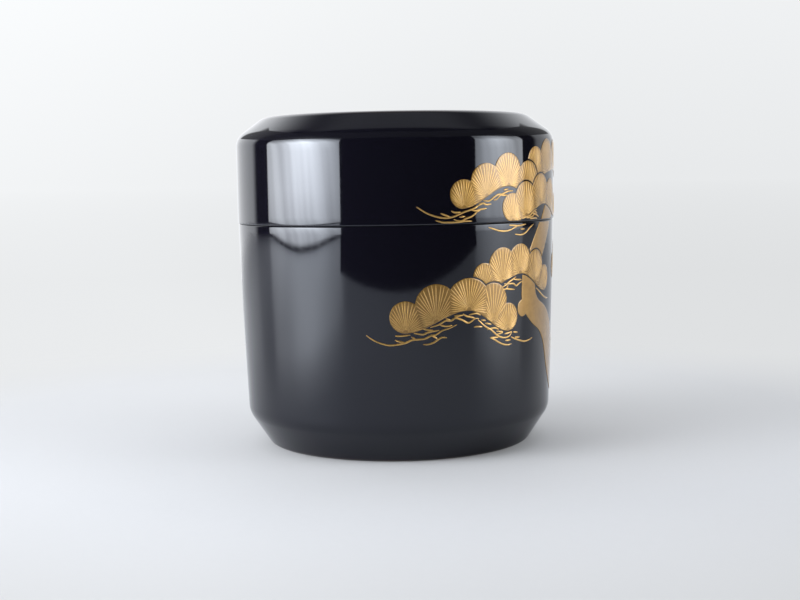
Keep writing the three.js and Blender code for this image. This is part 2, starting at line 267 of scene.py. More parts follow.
# How the patterns show. A span is from low and high to low and high.
LACQUER_BROWN = (0.3, 0.7, 0.45, 1)
LACQUER_DULL = (0.35, 0.75, 0, 0.025)
LACQUER_BUMP = {"Strength": 0.12, "Distance": 0.2 * MM}
RUB_DULL = 0.1
GOLD_DENSITY = (0.3, 0.7, 0.15, 0.75)
GOLD_DULL = (0.3, 0.7, -0.06, 0.08)
GOLD_BUMP = {"Strength": 0.2, "Distance": 0.03 * MM}
GOLD_SPARK = 0.35
# How much of the trunk's gold is the lighter gold of the lines: denser gold, and in part a painted
# reflection of the pale back.
TRUNK_SHARE = 0.2

# The stage. Feet of lights are (degrees to the right of the front, metres from the axis).
LIGHT_COLOUR = (0.95, 0.97, 1, 1)
LEFT_FEET = [(-100.5, 0.742), (-84, 0.54), (-70, 0.483), (-57, 0.5), (-38, 0.62)]
RIGHT_FEET = [(57, 0.87), (72, 0.87), (87, 0.87), (101, 0.87)]
OVERHEAD = [(-1, -0.6, 0.6), (-1, 0.7, 0.6), (0.7, 0.7, 1), (0.7, -0.6, 1)]
BOARD_TURNS = (-38.5, 57)
BOARD_CORNERS = 60
FLOOR_DROP = 0.1 * MM

# Looks of the two lights: streak and its centre, outer end, brightness of the top, and hem.
LEFT_LOOK = {"streak": 1.4, "centre": 0.6, "outer": 0, "top": 0.18, "hem": 0.016}
RIGHT_LOOK = {"streak": 1.0, "centre": 0.4, "outer": 1, "top": 0.4, "hem": 0.0}

# Patterns on a light, in shares of its width and height.
FOLD_SLANT = 0.45
FOLD_STRETCH = 0.12
FOLD_SCALE = 7.0
FOLD_LEVELS = (0.35, 0.65)
FOLD_DEPTH = 0.13
STREAK_WIDTH = 0.42
STREAK_RISE = (0.08, 0.26, 0.2, 1.1)
LIGHT_EDGE = 0.25
LIGHT_END = 0.27
LIGHT_TOP = (0.25, 0.7)
LIGHT_FOOT = (0, 0.12, 0.6, 1)
CORNER_LINE = (0, 0.14, 0.3, 1.1)
CORNER_FADE = (-0.05, 0.05, 1, 0.1)
FLAG_END = (0.47, 0.5)

# Spans of the board, in metres: where it fades to the background, and how bright it is there.
FADE_BACK = (-0.08, 0.3)
FADE_AWAY = (0.06, 0.17)
FADED_NEAR = (-0.15, 0.12, 0.735, 0.85)
FADED_FAR = (math.log(0.5), math.log(6), 0, 0.075)
# Where mirrors lose the board, and where they see it polished.
LOST_LEFT = (-0.5, -0.8)
LOST_BACK = (0.25, 0.7)
POLISHED = (0.05, 0.15)
BOARD_ROUGHNESS = (0.6, 0.4)
BOARD_SPECULAR = (0.03, 0.65)
BOARD_DULL = 0.975

# Spans of the room, by direction: the pale back, the soft light overhead, and the plain background.
BACK_EDGE = (0.44, 0.56)
BACK_TILT = (-0.8, 0.8, 1.35, 0.6)
BACK_RISE = (0, 0.4, 1, 1.15)
BACK_TOP = (0.45, 0.85, 1, 0)
TOP_EDGE = (0.75, 0.92)
TOP_FRONT = (-0.05, 0.15, 0.1, 1)
BACKDROP_RISE = (0, 0.12, 0.93, 1)
BACKDROP_TURN = (-0.35, 0.15)
BACKDROP_DIM = 0.9


def number(name, description, default, **kind):
    return FloatProperty(name=name, description=description, default=default, **kind)


def length(name, description, default):
    return number(name, description, default, unit="LENGTH", precision=5)


def angle(name, description, default):
    return number(name, description, default, subtype="ANGLE")


def share(name, description, default):
    return number(name, description, default, subtype="FACTOR", min=0, max=1)


def colour(name, description, default):
    limits = {"subtype": "COLOR", "size": 3, "min": 0, "max": 1}
    return FloatVectorProperty(name=name, description=description, default=default, **limits)


class CaddyForm(bpy.types.PropertyGroup):
    """Sizes of the two turned shells."""

    lid_radius: length("Lid radius", "Straight wall of the lid", LID_BOX[1].y)
    seam_height: length("Seam height", "Foot to the rim of the lid", LID_BOX[0].z)
    top_height: length("Height", "Foot to the flat top", LID_BOX[1].z)
    neck_top: length("Neck top", "Foot to the top of the neck", BODY_BOX[1].z)
    top_bevel_width: length("Top bevel width", "Bevel round the lid, measured inwards", 5.8 * MM)
    top_bevel_height: length("Top bevel height", "Height of the bevel round the lid", 4.3 * MM)
    foot_bevel_width: length("Foot bevel width", "Bevel round the foot, measured inwards", 4.5 * MM)
    foot_bevel_height: length("Foot bevel height", "Height of the bevel round the foot", 6.8 * MM)
    lid_overhang: length("Lid overhang", "How far the lid stands proud of the body", 0.15 * MM)
    body_taper: length("Body taper", "How far the body draws in towards the foot", 1.2 * MM)
    taper_power: number("Taper power", "Growth of the draw-in", 1.3)
    lid_wall: length("Lid wall", "Thickness of the wall of the lid", 2.2 * MM)
    lid_top: length("Lid top", "Thickness of the top of the lid", 2.6 * MM)
    neck_wall: length("Neck wall", "Thickness of the neck", 1.5 * MM)
    lid_clearance: length("Lid clearance", "Running gap between neck and lid", 0.15 * MM)
    floor_thickness: length("Floor", "Thickness of the floor", 3.6 * MM)
    base_recess: length("Base recess", "Hollow under the floor", 0.5 * MM)
    base_ring: length("Base ring", "Width of the ring that it stands on", 3.6 * MM)
    lid_crease: length("Lid crease", "Rounding where the wall of the lid turns into its bevel", 3.5 * MM)
    top_crease: length("Top crease", "Rounding where the bevel turns into the flat top", 4 * MM)
    foot_crease: length("Foot crease", "Rounding where the body turns into the foot bevel", 4.5 * MM)
    foot_round: length("Foot round", "Rounding of the standing edge", 1.6 * MM)
    seam_round: length("Seam round", "Rounding of the two lips of the seam", 0.3 * MM)
    neck_round: length("Neck round", "Rounding of the rim of the neck", 0.5 * MM)
    small_round: length("Small round", "Rounding of hidden edges", 0.2 * MM)
    floor_round: length("Floor round", "Hollow corner inside the body", 6 * MM)
    ceiling_round: length("Ceiling round", "Hollow corner inside the lid", 5 * MM)
    rub_reach: length("Rub reach", "How far wear spreads from an edge", 0.5 * MM)
    profile_step: length("Profile step", "Longest mesh spacing along a profile", 1.5 * MM)
    weld: length("Weld", "Points of a shell that are closer become one", 0.002 * MM)
    turns: IntProperty(name="Turns", description="Flats round a turned wall", default=256, min=12)


class PineForm(bpy.types.PropertyGroup):
    """Sizes of the raised gold."""

    plate_relief: length("Plate relief", "How far a bough stands up", 0.075 * MM)
    plate_edge: length("Plate edge", "Width of the rounded edge of a bough", 0.16 * MM)
    plate_dome: length("Plate dome", "How far a lobe swells in its middle", 0.008 * MM)
    dome_reach: length("Dome reach", "How fast a lobe swells from its outline", 0.6 * MM)
    plate_root: length("Plate root", "How far gold is sunk into the lacquer", 0.02 * MM)
    plate_pitch: length("Plate pitch", "Mesh spacing on a bough", 0.11 * MM)
    bare_line: length("Bare line", "Lacquer left bare beside a bough in front", 0.25 * MM)
    needle_width: length("Needle width", "Width of a raised needle", 0.2 * MM)
    needle_relief: length("Needle relief", "Height of a raised needle", 0.022 * MM)
    needle_margin: length("Needle margin", "Gap from a needle's tip to the outline", 0.07 * MM)
    needle_turn: angle("Needle turn", "Angle between needles", math.radians(6.8))
    needle_seat: length("Needle seat", "How far a needle starts above its bough", 0.005 * MM)
    needle_tip: share("Needle tip", "Thickness of the ends of a needle", 0.3)
    needle_lean: number("Needle lean", "How far its thickest place is pushed out", 2.2)
    twig_width: length("Twig width", "Width of a twig", 0.38 * MM)
    twig_relief: length("Twig relief", "Height of a twig", 0.13 * MM)
    twig_tip: share("Twig tip", "Thickness of the ends of a twig", 0.4)
    twig_lean: number("Twig lean", "How far its thickest place is pushed along", 1)
    line_step: length("Line step", "Mesh spacing along a raised line", 0.7 * MM)
    seam_margin: length("Seam margin", "Gap from the gold to the seam", 0.3 * MM)
    bevel_margin: length("Bevel margin", "Gap from the gold to a bevel", 1 * MM)


class CaddyFinish(bpy.types.PropertyGroup):
    """Colours of the lacquer, the gold and the floor."""

    lacquer: colour("Lacquer", "Polished black lacquer", (0.0028, 0.0026, 0.0052))
    lacquer_thin: colour("Thin lacquer", "Lacquer where it is thin, at the edges", (0.03, 0.010, 0.007))
    lacquer_roughness: share("Lacquer roughness", "Roughness of the polished lacquer", 0.04)
    # The line gold is lighter than the ground gold. Part of that is denser gold, and part is a painted
    # highlight for the raised lines.
    line_gold_dense_with_highlight: colour("Line gold, dense", "Raised lines where the powder is dense, with painted highlight", (0.66, 0.4, 0.115))
    line_gold_sparse_with_highlight: colour("Line gold, sparse", "Raised lines where the powder is sparse, with painted highlight", (0.5, 0.295, 0.075))
    ground_bright: colour("Ground gold, dense", "Boughs where the powder is dense", (0.28, 0.156, 0.034))
    ground_deep: colour("Ground gold, sparse", "Boughs where the powder is sparse", (0.195, 0.105, 0.021))
    gold_roughness: share("Line roughness", "Roughness of the raised gold lines", 0.4)
    ground_roughness: share("Ground roughness", "Roughness of the powdered gold ground", 0.52)
    floor: colour("Floor", "Pale board that it stands on", (0.57, 0.58, 0.60))
    background: colour("Background", "Pale ground seen behind", (0.965, 0.982, 0.995))


class CaddyStage(bpy.types.PropertyGroup):
    """Camera, floor and soft lights."""

    lens: number("Lens", "Focal length", 61.85, unit="CAMERA")
    camera_back: length("Camera back", "Distance from the axis to the camera", 0.28993)
    camera_height: length("Camera height", "Height of the camera", 0.055839)
    camera_pitch: angle("Pitch", "Downward tilt", 0.092)
    camera_yaw: angle("Yaw", "Turn to the right", 0.002)
    camera_roll: angle("Roll", "Roll about the view", 0.017)
    floor_front: length("Floor front", "Axis to the edge of the board in front", 0.27)
    board_reach: length("Board reach", "Axis to the far edge of the board", 1.2)
    floor_reach: length("Floor reach", "Axis to the far edges of the floor", 6.0)
    left_strength: number("Left light", "Radiance of the left light", 11)
    left_height: length("Left light height", "Height of the left light", 0.4)
    right_strength: number("Right light", "Radiance of the right light", 5.7)
    right_height: length("Right light height", "Height of the right light", 0.5)
    flag_reach: length("Flag reach", "Distance from the axis to the dark band", 50 * MM)
    flag_low: length("Flag foot", "Height of the band's lower edge", 71.6 * MM)
    flag_height: length("Flag height", "Height of the band", 28 * MM)
    flag_back: length("Flag back", "How far its two ends reach back", 40 * MM)
    flag_strength: number("Flag strength", "Its faint glow", 0.15)
    flag_open: share("Flag openness", "Share of light that it lets through", 0.08)
    fill_strength: number("Fill", "Radiance of the light over the board", 1.4)
    back_strength: number("Back light", "Radiance of the pale back", 1.25)
    top_strength: number("Top light", "Radiance of the soft light overhead", 0.27)
    room_strength: number("Room light", "Radiance of the dark parts of the room", 0.03)


class Nodes:
    """A node tree that is filled in one node at a time."""

    def __init__(self, tree):
        self.tree = tree

    def add(self, kind, inputs=(), **settings):
        node = self.tree.nodes.new(kind)
        for name, value in settings.items():
            setattr(node, name, value)
        for key, value in dict(inputs).items():
            self.feed(node.inputs[key], value)
        return node

    def feed(self, socket, value):
        if isinstance(value, bpy.types.NodeSocket):
            self.tree.links.new(value, socket)
        else:
            socket.default_value = value

    def math(self, operation, *values):
        return self.add("ShaderNodeMath", enumerate(values), operation=operation).outputs[0]

    def times(self, value, *others):
        """The product of some values."""
        for other in others:
            value = self.math("MULTIPLY", value, other)
        return value

    def gap(self, first, second):
        """How far two values are apart."""
        return self.math("ABSOLUTE", self.math("SUBTRACT", first, second))

    def parts(self, vector):
        """The three parts of a vector."""
        return self.add("ShaderNodeSeparateXYZ", {0: vector}).outputs

    def joined(self, *values):
        """A vector with these parts."""
        return self.add("ShaderNodeCombineXYZ", enumerate(values)).outputs[0]

    def span(self, value, low, high, to_low=0.0, to_high=1.0, smooth=False):
        """A value moved from one span to another."""
        kind = "SMOOTHSTEP" if smooth else "LINEAR"
        ends = {"Value": value, "From Min": low, "From Max": high, "To Min": to_low, "To Max": to_high}
        return self.add("ShaderNodeMapRange", ends, interpolation_type=kind).outputs["Result"]

    def blend(self, amount, first, second):
        """A colour between two colours."""
        node = self.add("ShaderNodeMix", data_type="RGBA")
        for index, value in ((0, amount), (6, first), (7, second)):
            self.feed(node.inputs[index], value)
        return node.outputs[2]

    def glow(self, tint, strength):
        """An even light."""
        return self.add("ShaderNodeEmission", {"Color": tint, "Strength": strength}).outputs[0]

    def clear(self):
        """A surface that isn't there."""
        return self.add("ShaderNodeBsdfTransparent").outputs[0]

    def mix(self, amount, first, second):
        """A surface between two surfaces."""
        return self.add("ShaderNodeMixShader", {0: amount, 1: first, 2: second}).outputs[0]


def opaque(rgb):
    return (*rgb, 1.0)


def new_material(name):
    material = bpy.data.materials.new(name)
    material.use_nodes = True
    material.node_tree.nodes.clear()
    return material, Nodes(material.node_tree)


def finish_surface(nodes, shader):
    nodes.add("ShaderNodeOutputMaterial", {"Surface": shader})


def noise(nodes, place, scale, detail=2.0, roughness=0.5):
    inputs = {"Vector": place, "Scale": scale, "Detail": detail, "Roughness": roughness}
    return nodes.add("ShaderNodeTexNoise", inputs).outputs["Fac"]


def lacquer_finish(finish):
    """Black lacquer, polished until it mirrors, browner and duller where edges are rubbed."""
    material, nodes = new_material("Black lacquer")
    place = nodes.add("ShaderNodeTexCoord").outputs["Object"]
    rub = nodes.add("ShaderNodeAttribute", attribute_name="edge_rub").outputs["Fac"]
    cloud = noise(nodes, place, LACQUER_CLOUD, 3)
    haze = noise(nodes, place, LACQUER_HAZE, 4, 0.6)
    swell = noise(nodes, place, LACQUER_SWELL, 1)
    brown = nodes.times(rub, nodes.span(cloud, *LACQUER_BROWN))
    roughness = nodes.math("ADD", nodes.span(haze, *LACQUER_DULL), finish.lacquer_roughness)
    roughness = nodes.math("MULTIPLY_ADD", rub, RUB_DULL, roughness)
    bump = nodes.add("ShaderNodeBump", {"Height": swell, **LACQUER_BUMP})
    shader = nodes.add(
        "ShaderNodeBsdfPrincipled",
        {
            "Base Color": nodes.blend(brown, opaque(finish.lacquer), opaque(finish.lacquer_thin)),
            "Roughness": roughness,
            "IOR": 1.5,
            "Specular Tint": (0.87, 0.92, 1, 1),
            "Normal": bump.outputs["Normal"],
        },
    )
    finish_surface(nodes, shader.outputs["BSDF"])
    return material


def gold_finish(name, bright, deep, roughness):
    """Gold powder burnished to a satin: mottled, with single grains that catch the light."""
    material, nodes = new_material(name)
    place = nodes.add("ShaderNodeTexCoord").outputs["Object"]
    mottle = noise(nodes, place, GOLD_MOTTLE, 4, 0.6)
    grain = noise(nodes, place, GOLD_GRAIN, 3, 0.6)
    flakes = nodes.add("ShaderNodeTexVoronoi", {"Vector": place, "Scale": GOLD_FLAKES})
    spark = nodes.add("ShaderNodeSeparateColor", {"Color": flakes.outputs["Color"]}).outputs["Red"]
    density = nodes.math("MULTIPLY_ADD", spark, GOLD_SPARK, nodes.span(mottle, *GOLD_DENSITY))
    rough = nodes.math("ADD", nodes.span(grain, *GOLD_DULL), roughness)
    height = nodes.math("MULTIPLY_ADD", spark, GOLD_SPARK, grain)
    bump = nodes.add("ShaderNodeBump", {"Height": height, **GOLD_BUMP})
    shader = nodes.add(
        "ShaderNodeBsdfPrincipled",
        {
            "Base Color": nodes.blend(density, opaque(deep), opaque(bright)),
            "Metallic": 1.0,
            "Roughness": rough,
            "Coat Weight": 1.0,
            "Coat Roughness": 0.12,
            "Normal": bump.outputs["Normal"],
        },
    )
    finish_surface(nodes, shader.outputs["BSDF"])
    return material


def ground_finish(finish):
    """The gold of the boughs between their needles."""
    return gold_finish("Gold ground", finish.ground_bright, finish.ground_deep, finish.ground_roughness)


def trunk_finish(finish):
    """The smooth gold of the trunk, a little lighter than the ground: partly denser gold, partly a painted
    reflection of the pale back.
    """
    shades = [(finish.ground_bright, finish.line_gold_dense_with_highlight), (finish.ground_deep, finish.line_gold_sparse_with_highlight)]
    kept = 1 - TRUNK_SHARE
    bright, deep = [[kept * low + TRUNK_SHARE * high for low, high in zip(*pair)] for pair in shades]
    return gold_finish("Gold trunk", bright, deep, finish.ground_roughness)


def line_finish(finish):
    """The gold of the needles and the twigs: denser gold than the ground, and also lighter as a painted
    highlight for the light that catches the raised lines.
    """
    return gold_finish("Gold line", finish.line_gold_dense_with_highlight, finish.line_gold_sparse_with_highlight, finish.gold_roughness)


def finish_named(name):
    """One of the finishes, made the first time that it is asked for."""
    makers = {
        "Black lacquer": lacquer_finish,
        "Gold ground": ground_finish,
        "Gold trunk": trunk_finish,
        "Gold line": line_finish,
    }
    made = bpy.data.materials.get(name)
    return made or makers[name](bpy.context.scene.caddy_finish)


def new_tree(name):
    tree = bpy.data.node_groups.new(name, "GeometryNodeTree")
    tree.interface.new_socket("Geometry", in_out="INPUT", socket_type="NodeSocketGeometry")
    tree.interface.new_socket("Geometry", in_out="OUTPUT", socket_type="NodeSocketGeometry")
    return tree


def tree_inputs(tree, sizes, counts=()):
    """Named inputs of a tree: sizes, counts and the material. Returns the node that feeds them."""
    for name in sizes:
        tree.interface.new_socket(name, in_out="INPUT", socket_type="NodeSocketFloat")
    for name in counts:
        tree.interface.new_socket(name, in_out="INPUT", socket_type="NodeSocketInt")
    tree.interface.new_socket("Material", in_out="INPUT", socket_type="NodeSocketMaterial")
    return tree.nodes.new("NodeGroupInput").outputs


def end_tree(nodes, mesh, material):
    smooth = nodes.add("GeometryNodeSetShadeSmooth", {"Geometry": mesh})
    real = nodes.add("GeometryNodeRealizeInstances", {"Geometry": smooth.outputs[0]})
    dressed = nodes.add("GeometryNodeSetMaterial", {"Geometry": real.outputs[0], "Material": material})
    nodes.add("NodeGroupOutput", {"Geometry": dressed.outputs[0]})


def turned_wall_tree():
    """Turns a half profile, drawn as edges from the rail radius outwards, about the upright axis."""
    tree = new_tree("Turned wall")
    given = tree_inputs(tree, ["Rail Radius", "Weld"], ["Turns"])
    nodes = Nodes(tree)
    drawn = nodes.add("GeometryNodeMeshToCurve", {"Mesh": given["Geometry"]})
    rail = nodes.add(
        "GeometryNodeCurvePrimitiveCircle", {"Resolution": given["Turns"], "Radius": given["Rail Radius"]}
    )
    upright = nodes.add("GeometryNodeSetCurveNormal", {"Curve": rail.outputs[0]}, mode="Z_UP")
    wall = nodes.add(
        "GeometryNodeCurveToMesh", {"Curve": upright.outputs[0], "Profile Curve": drawn.outputs[0]}
    )
    welded = nodes.add(
        "GeometryNodeMergeByDistance", {"Geometry": wall.outputs[0], "Distance": given["Weld"]}
    )
    end_tree(nodes, welded.outputs[0], given["Material"])
    return tree


def raised_line_tree():
    """Makes drawn lines half-round ridges with thin ends, and wraps them on a turned wall."""
    tree = new_tree("Raised line")
    sizes = ["Width", "Relief", "Lift", "Step", "Tip", "Lean", "Drawing Radius", "Wall Radius"]
    sizes += ["Seam Height", "Taper", "Taper Span", "Taper Power", "Crease Start", "Crease Round"]
    given = tree_inputs(tree, sizes)
    nodes = Nodes(tree)
    drawn = nodes.add("GeometryNodeMeshToCurve", {"Mesh": given["Geometry"]})
    bent = nodes.add("GeometryNodeCurveSplineType", {"Curve": drawn.outputs[0]}, spline_type="CATMULL_ROM")
    spaced = {"Curve": bent.outputs[0], "Length": given["Step"]}
    even = nodes.add("GeometryNodeResampleCurve", spaced, mode="LENGTH")
    flat = nodes.add("GeometryNodeSetCurveNormal", {"Curve": even.outputs[0]}, mode="Z_UP")
    run = nodes.add("GeometryNodeSplineParameter").outputs["Factor"]
    swell = nodes.math("SINE", nodes.times(nodes.math("POWER", run, given["Lean"]), math.pi))
    swell = nodes.math("SQRT", nodes.math("MAXIMUM", swell, 0.0))
    spare = nodes.math("SUBTRACT", 1.0, given["Tip"])
    thickness = nodes.math("MULTIPLY_ADD", swell, spare, given["Tip"])
    half_round = {
        "Resolution": 5,
        "Radius": 1.0,
        "Start Angle": math.pi,
        "Sweep Angle": math.pi,
        "Connect Center": True,
    }
    ridge = nodes.add("GeometryNodeCurveArc", half_round, mode="RADIUS")
    section = nodes.joined(nodes.times(given["Width"], 0.5), given["Relief"], 1.0)
    sized = nodes.add("GeometryNodeTransform", {"Geometry": ridge.outputs[0], "Scale": section})
    line = nodes.add(
        "GeometryNodeCurveToMesh",
        {
            "Curve": flat.outputs[0],
            "Profile Curve": sized.outputs[0],
            "Scale": thickness,
            "Fill Caps": True,
        },
    )
    along, up, lift = nodes.parts(nodes.add("GeometryNodeInputPosition").outputs[0])
    turn = nodes.math("DIVIDE", along, given["Drawing Radius"])
    drop = nodes.math("DIVIDE", up, nodes.times(given["Taper Span"], -1.0))
    drop = nodes.math("POWER", nodes.math("MAXIMUM", drop, 0.0), given["Taper Power"])
    wall = nodes.math("SUBTRACT", given["Wall Radius"], nodes.times(drop, given["Taper"]))
    past = nodes.math("MAXIMUM", nodes.math("SUBTRACT", up, given["Crease Start"]), 0.0)
    past = nodes.math("DIVIDE", past, given["Crease Round"])
    kept = nodes.math("SQRT", nodes.math("SUBTRACT", 1.0, nodes.times(past, past)))
    fall = nodes.times(nodes.math("SUBTRACT", 1.0, kept), given["Crease Round"])
    wall = nodes.math("SUBTRACT", wall, fall)
    radius = nodes.math("ADD", nodes.math("ADD", wall, given["Lift"]), lift)
    wrapped = nodes.joined(
        nodes.times(radius, nodes.math("SINE", turn)),
        nodes.times(radius, nodes.math("COSINE", turn), -1.0),
        nodes.math("ADD", up, given["Seam Height"]),
    )
    laid = nodes.add("GeometryNodeSetPosition", {"Geometry": line.outputs[0], "Position": wrapped})
    end_tree(nodes, laid.outputs[0], given["Material"])
    return tree


def tree_named(name, maker):
    return bpy.data.node_groups.get(name) or maker()


def link(name, mesh):
    made = bpy.data.objects.new(name, mesh)
    bpy.context.scene.collection.objects.link(made)
    return made


def chains_mesh(name, chains):
    """A mesh of edges only, one chain for each row of points."""
    points = [point for chain in chains for point in chain]
    starts = np.cumsum([0] + [len(chain) for chain in chains])
    edges = [(i, i + 1) for a, b in zip(starts, starts[1:]) for i in range(a, b - 1)]
    mesh = bpy.data.meshes.new(name)
    mesh.from_pydata(points, edges, [])
    return mesh


def grown(name, chains, tree, values, sharp_angle):
    """The plain mesh object that a tree makes of some chains of edges."""
    source = link(name + "_drawn", chains_mesh(name + "_drawn", chains))
    modifier = source.modifiers.new(tree.name, "NODES")
    modifier.node_group = tree
    for item in tree.interface.items_tree:
        if item.in_out == "INPUT" and item.name in values:
            modifier[item.identifier] = values[item.name]
    bpy.context.view_layer.update()
    evaluated = source.evaluated_get(bpy.context.evaluated_depsgraph_get())
    mesh = bpy.data.meshes.new_from_object(evaluated)
    drawn = source.data
    bpy.data.objects.remove(source)
    bpy.data.meshes.remove(drawn)
    mesh.name = name
    mesh.set_sharp_from_angle(angle=sharp_angle)
    return link(name, mesh)


def place_piece(piece, body, slot, *nodes):
    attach(piece, body)
    if nodes:
        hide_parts(*nodes)


def arc(before, here, after):
    """Points of a rounded corner, from the side that comes before it to the side after it."""
    corner, rounding = np.array(here[:2]), here[2]
    back = np.array(before[:2]) - corner
    ahead = np.array(after[:2]) - corner
    back /= np.linalg.norm(back)
    ahead /= np.linalg.norm(ahead)
    half = math.acos(float(np.clip(back @ ahead, -1, 1))) / 2
    middle = (back + ahead) / np.linalg.norm(back + ahead)
    centre = corner + middle * rounding / math.sin(half)
    start = corner + back * rounding / math.tan(half) - centre
    end = corner + ahead * rounding / math.tan(half) - centre
    sweep = math.pi - 2 * half

    def place(run):
        mixed = start * math.sin((1 - run) * sweep) + end * math.sin(run * sweep)
        return centre + mixed / math.sin(sweep)

    return [place(run) for run in np.linspace(0, 1, CORNER_STEPS + 1)]


def profile(corners, longest):
    """Points of a half profile from corners of (radius, height, rounding), none far from the next."""
    points = [np.array(corners[0][:2])]
    for before, here, after in zip(corners, corners[1:], corners[2:]):
        points += arc(before, here, after) if here[2] else [np.array(here[:2])]
    points.append(np.array(corners[-1][:2]))
    spaced = [points[0]]
    for start, end in zip(points, points[1:]):
        count = max(1, math.ceil(np.linalg.norm(end - start) / longest))
        spaced += [start + (end - start) * i / count for i in range(1, count + 1)]
    return spaced


def body_radius(form, height):
    drop = (form.seam_height - height) / (form.seam_height - form.foot_bevel_height)
    return form.lid_radius - form.lid_overhang - form.body_taper * np.maximum(drop, 0) ** form.taper_power


def crease_start(form):
    """Height at which the straight wall of the lid starts to round over into the bevel."""
    turn = math.atan2(form.top_bevel_width, form.top_bevel_height)
    return form.top_height - form.top_bevel_height - form.lid_crease * math.tan(turn / 2)


def lid_radius(form, height):
    past = np.maximum(height - crease_start(form), 0)
    return form.lid_radius - form.lid_crease + np.sqrt(form.lid_crease**2 - past**2)


def body_corners(form):
    crease = body_radius(form, form.foot_bevel_height)
    foot = crease - form.foot_bevel_width
    recess = foot - form.base_ring
    neck = form.lid_radius - form.lid_wall - form.lid_clearance
    mouth = neck - form.neck_wall
    floor = form.base_recess + form.floor_thickness
    heights = np.linspace(form.foot_bevel_height, form.seam_height, WALL_POINTS)[2:-1]
    return [
        (0, form.base_recess, 0),
        (recess, form.base_recess, form.small_round),
        (recess, 0, form.small_round),
        (foot, 0, form.foot_round),
        (crease, form.foot_bevel_height, form.foot_crease),
        *[(body_radius(form, height), height, 0) for height in heights],
        (form.lid_radius - form.lid_overhang, form.seam_height, form.seam_round),
        (neck, form.seam_height, form.small_round),
        (neck, form.neck_top, form.neck_round),
        (mouth, form.neck_top, form.neck_round),
        (mouth, floor, form.floor_round),
        (0, floor, 0),
    ]


def lid_corners(form):
    bore = form.lid_radius - form.lid_wall
    ceiling = form.top_height - form.lid_top
    wall_top = form.top_height - form.top_bevel_height
    return [
        (0, ceiling, 0),
        (bore, ceiling, form.ceiling_round),
        (bore, form.seam_height, form.seam_round),
        (form.lid_radius, form.seam_height, form.seam_round),
        (form.lid_radius, wall_top, form.lid_crease),
        (form.lid_radius - form.top_bevel_width, form.top_height, form.top_crease),
        (0, form.top_height, 0),
    ]


def mark_edges(mesh, edges, reach):
    """Stores how near each point is to the edges that hands and cloths rub."""
    at = np.zeros(len(mesh.vertices) * 3)
    mesh.vertices.foreach_get("co", at)
    at = at.reshape(-1, 3)
    radius = np.hypot(at[:, 0], at[:, 1])
    gaps = [np.hypot(radius - edge_radius, at[:, 2] - height) for edge_radius, height in edges]
    rub = np.exp(-((np.min(gaps, axis=0) / reach) ** 2))
    mesh.attributes.new("edge_rub", "FLOAT", "POINT").data.foreach_set("value", rub.astype(np.float32))


def turned_shell(name, corners, form):
    rail = form.lid_radius
    points = profile(corners, form.profile_step)
    chain = [(radius - rail, -height, 0) for radius, height in reversed(points)]
    values = {
        "Rail Radius": rail,
        "Weld": form.weld,
        "Turns": form.turns,
        "Material": finish_named("Black lacquer"),
    }
    tree = tree_named("Turned wall", turned_wall_tree)
    return grown(name, [chain], tree, values, SHELL_SHARP)


def eased(start, end, along):
    """A line that leaves one point and reaches the next one level."""
    run = np.clip((along - start[0]) / (end[0] - start[0]), 0, 1)
    return start[1] + (end[1] - start[1]) * (1 - np.cos(np.pi * run)) / 2


def arch(underside, along):
    left, crown, right = underside
    return np.where(along < crown[0], eased(left, crown, along), eased(crown, right, along))


def bough_distance(bough, along, up):
    """Distance to the outline of a bough, negative inside it."""
    left, _, right = bough["underside"]
    under = arch(bough["underside"], along)
    lobes = np.min([np.hypot(along - a, up - u) - r for a, u, r in bough["lobes"]], axis=0)
    spine = np.interp(along, [lobe[0] for lobe in bough["lobes"]], [lobe[1] for lobe in bough["lobes"]])
    outside = np.maximum(left[0] - along, along - right[0])
    web = np.maximum.reduce([up - spine, under - up, outside])
    hollow = np.maximum(up - under, outside)
    return np.maximum(np.minimum(lobes, web), -hollow)


def smooth_line(points, steps=14):
    """A curve through all the points of a line."""
    rows = np.array([points[0], *points, points[-1]], float)
    t = np.linspace(0, 1, steps, endpoint=False)[:, None]
    pieces = []
    for a, b, c, d in zip(rows, rows[1:], rows[2:], rows[3:]):
        bend = 2 * b + (c - a) * t + (2 * a - 5 * b + 4 * c - d) * t**2 + (3 * b - a - 3 * c + d) * t**3
        pieces.append(bend / 2)
    return np.concatenate([*pieces, rows[-1:]])


def trunk_distance(lines, along, up):
    points = np.concatenate([smooth_line(line) for line in lines])
    return np.min([np.hypot(along - a, up - u) - width / 2 for a, u, width in points], axis=0)


def side_of(name):
    """The CAD body that a piece of gold lies on."""
    return name.split("_")[0]


def up_limits(name, form, pine):
    """Lowest and highest place of gold on a wall, from the seam, in millimetres."""
    margin = pine.seam_margin
    if side_of(name) == "lid":
        high = form.top_height - form.top_bevel_height - pine.bevel_margin - form.seam_height
        return margin / MM, high / MM
    return (form.foot_bevel_height + pine.bevel_margin - form.seam_height) / MM, -margin / MM


def plate_distance(name, along, up, form, pine):
    """Distance to the outline of one island of gold, negative inside it."""
    if name in BOUGHS:
        behind = BOUGHS[name]["behind"]
        away = bough_distance(BOUGHS[name], along, up)
    else:
        behind = TRUNKS[name]["behind"]
        away = trunk_distance(TRUNKS[name]["lines"], along, up)
    for front in behind:
        away = np.maximum(away, pine.bare_line / MM - bough_distance(BOUGHS[front], along, up))
    low, high = up_limits(name, form, pine)
    return np.maximum.reduce([away, low - up, up - high])


def lobe_powers(bough, along, up):
    return np.array([(along - a) ** 2 + (up - u) ** 2 - r**2 for a, u, r in bough["lobes"]])


